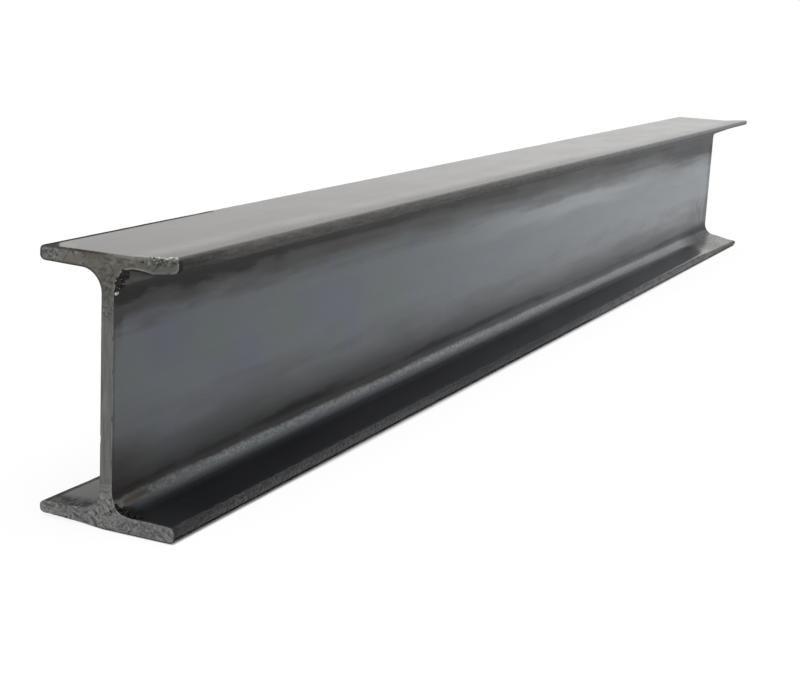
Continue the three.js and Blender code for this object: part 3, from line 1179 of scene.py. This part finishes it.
def grow_together(lumps, name, material, skin, bumps):
    """Join lumps into one closed skin, roughen it, and make it a piece of the beam. skin is its pitch."""
    only(lumps[0])
    for ball in lumps:
        ball.select_set(True)
    if len(lumps) > 1:
        bpy.ops.object.join()
    piece = bpy.context.object
    piece.name = piece.data.name = name
    remesh = piece.modifiers.new("skin", "REMESH")
    remesh.mode, remesh.voxel_size = "VOXEL", skin
    bpy.ops.object.modifier_apply(modifier=remesh.name)
    mark(piece, "whole", np.ones(len(piece.data.vertices)))
    for size, height in bumps:
        ruffle(piece, "whole", size=size, height=height, octaves=2, shift=random.uniform(0, 1))
    piece.data.materials.append(material)
    bpy.ops.object.shade_smooth_by_angle(angle=math.radians(40))
    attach(piece, "root")
    return piece


print("lumps can be made; a place on the root:", tuple(round(v, 4) for v in on_root(0.001, 45)))

# %% The crust in the root
LUMP_PITCH = 0.0009
SKIN, CHIP_SKIN = 0.00018, 0.00012

random.seed(11)
lumps = []
for degrees in range(8, 66, 6):
    reach = float(np.interp(degrees, [8, 16, 38, 50, 60, 66], [0.0038, 0.0044, 0.0040, 0.0034, 0.0022, 0.0014]))
    for behind in steps(0.0, reach + LUMP_PITCH, LUMP_PITCH):
        place = on_root(behind + random.uniform(-0.0003, 0.0003), degrees + random.uniform(-3, 3))
        lumps.append(lump(place, random.uniform(0.0005, 0.0008), [random.uniform(0.8, 1.3) for _ in range(3)]))
crust = grow_together(lumps, "root_crust", black_crust, SKIN, ((0.0014, 0.0009), (0.0005, 0.0004)))
print("crust:", len(lumps), "lumps,", len(crust.data.polygons), "faces")

# %% Crumbs in the lower root, and the bright chip
LOWER_CENTRE_Z = flange_thickness(ROOT_CENTRE_Y) + ROOT_RADIUS  # level of the lower hollow's centre
CRUMB_COUNT = 44

lumps = []
for _ in range(CRUMB_COUNT):
    degrees = random.triangular(12, 88, 80)
    place = on_root(random.uniform(0.0003, 0.0009 + 0.0032 * (degrees > 48)), degrees)
    slide = random.uniform(0, 0.005) * (degrees > 60)  # some have slid out on to the flange
    place.y -= slide
    place.z = LOWER_CENTRE_Z - ROOT_RADIUS * math.sin(math.radians(degrees)) - FLANGE_TAPER * slide
    radius = random.uniform(0.0003, 0.0007)
    lumps.append(lump(place, radius, [random.uniform(0.8, 1.7), random.uniform(0.8, 1.7), 0.7]))
crumbs = grow_together(lumps, "root_crumbs", black_crust, SKIN, ((0.0012, 0.0005),))

grain_of_steel = lump(on_root(0.0013, 5) - Vector((0, 0.0003, 0)), 0.0008, (1.5, 0.8, 0.9))
chip = grow_together([grain_of_steel], "bright_chip", burr_steel, CHIP_SKIN, ((0.0008, 0.0005),))
print("faces of crumbs and chip:", len(crumbs.data.polygons), len(chip.data.polygons))

# %% [markdown]
# ## Floor, light and camera
#
# The floor is white paper that keeps a faint shadow: what the camera and the metal's reflections
# see is mostly the paper's own glow, and the rest is lit by the lamps. Right beside the beam the
# glow fades out over a millimetre or two, which leaves the thin dark line of a piece that touches
# the ground. The world does the same, and lights the beam softly from all round. A wide soft lamp
# overhead and a weaker one on the near side do the rest.

# %% White paper
def white_when_seen(sheet):
    """1 for rays that look at the surroundings directly or in a reflection, 0 for rays that carry light."""
    rays = ("Is Camera Ray", "Is Glossy Ray", "Is Transmission Ray")
    camera_ray, glossy_ray, passing_ray = sheet.add("ShaderNodeLightPath", output=rays)
    return most(most(camera_ray, glossy_ray), passing_ray)


WHITE = (1, 1, 1, 1)
PAPER_GLOW = 0.84  # how much of the paper's look is its own, close to the beam

bpy.ops.object.select_all(action="DESELECT")
bpy.ops.mesh.primitive_plane_add(size=16, location=(0, 0, -0.0004))
paper = bpy.context.object
paper.name = paper.data.name = "paper_floor"
bpy.ops.object.transform_apply()
white_paper = bpy.data.materials.new("white_paper")
white_paper.use_nodes = True
sheet = Sheet(white_paper.node_tree)
place = sheet.add("ShaderNodeTexCoord", output="Object")
away = sheet.add("ShaderNodeVectorMath", {0: place}, output="Value", operation="LENGTH")
along, side = sheet.add("ShaderNodeSeparateXYZ", {0: place}, output=("X", "Y"))
beside = most(abs(along) - HALF_LENGTH, abs(side) - HALF_WIDTH)
raised = most(side, 0.0) * along.fade(-HALF_LENGTH + 0.09, -HALF_LENGTH + 0.02, 0.0, 0.19)  # the worn foot
shade_reach = along.fade(-0.36, -0.28, 0.0008, 0.0021) - along.fade(0.08, 0.32, 0.0, 0.0014)
own_light = away.fade(0.7, 3.5, PAPER_GLOW, 1.0) * (beside + raised).fade(-0.0004, shade_reach)
lit = sheet.add("ShaderNodeBsdfDiffuse", {"Color": (0.8, 0.8, 0.8, 1)})
glow = sheet.add("ShaderNodeEmission", {"Color": WHITE, "Strength": 1.06})
both = sheet.add("ShaderNodeMixShader", {0: white_when_seen(sheet) * own_light, 1: lit, 2: glow})
sheet.add("ShaderNodeOutputMaterial", {"Surface": both})
paper.data.materials.append(white_paper)
print("paper:", len(sheet.tree.nodes), "nodes")

# %% White surroundings
AMBIENT = 0.45  # how bright the surroundings are as a light

world = bpy.data.worlds.new("white_room")
bpy.context.scene.world = world
world.use_nodes = True
sheet = Sheet(world.node_tree)
terms = {0: white_when_seen(sheet), 1: 1.0 - AMBIENT, 2: AMBIENT}
strength = sheet.add("ShaderNodeMath", terms, operation="MULTIPLY_ADD")
room = sheet.add("ShaderNodeBackground", {"Color": WHITE, "Strength": strength})
sheet.add("ShaderNodeOutputWorld", {"Surface": room})
print("surroundings:", len(sheet.tree.nodes), "nodes")

# %% Lamps
BEAM_MIDDLE = Vector((0, 0, DEPTH / 2))


def soft_lamp(name, place, size, power):
    bpy.ops.object.light_add(type="AREA", location=place)
    lamp = bpy.context.object
    lamp.name = name
    lamp.data.shape = "RECTANGLE"
    lamp.data.size, lamp.data.size_y = size
    lamp.data.energy = power
    lamp.rotation_euler = (BEAM_MIDDLE - Vector(place)).to_track_quat("-Z", "Y").to_euler()
    print(name, power, "W")


soft_lamp("overhead_softbox", (0.0, -0.25, 1.7), (2.6, 1.6), 26)
soft_lamp("near_side_fill", (-1.3, -1.6, 0.7), (1.4, 1.0), 5)

# %% Camera
# its direction is given by the azimuth and elevation it looks from, and by a small roll
CAMERA_PLACE = Vector((-HALF_LENGTH - 0.44433, -0.31347, 0.19554))
AZIMUTH, ELEVATION, ROLL = (math.radians(angle) for angle in (-65.596, 12.699, 2.987))
PICTURE_WIDTH, FOCAL_PIXELS, SENSOR_WIDTH = 800, 1576.96, 36
back = Vector((
    math.sin(AZIMUTH) * math.cos(ELEVATION), -math.cos(AZIMUTH) * math.cos(ELEVATION), math.sin(ELEVATION)
))
right = (-back).cross(Vector((0, 0, 1))).normalized()
up = right.cross(-back)
rolled_right = right * math.cos(ROLL) + up * math.sin(ROLL)
rolled_up = up * math.cos(ROLL) - right * math.sin(ROLL)
bpy.ops.object.camera_add()
camera = bpy.context.object
turn = Matrix((rolled_right, rolled_up, back)).transposed()
camera.matrix_world = Matrix.Translation(CAMERA_PLACE) @ turn.to_4x4()
camera.data.sensor_width = SENSOR_WIDTH
camera.data.lens = FOCAL_PIXELS * SENSOR_WIDTH / PICTURE_WIDTH
bpy.context.scene.camera = camera
bpy.context.scene.view_settings.view_transform = "Standard"
print("camera ready, lens", round(camera.data.lens, 2), "mm")
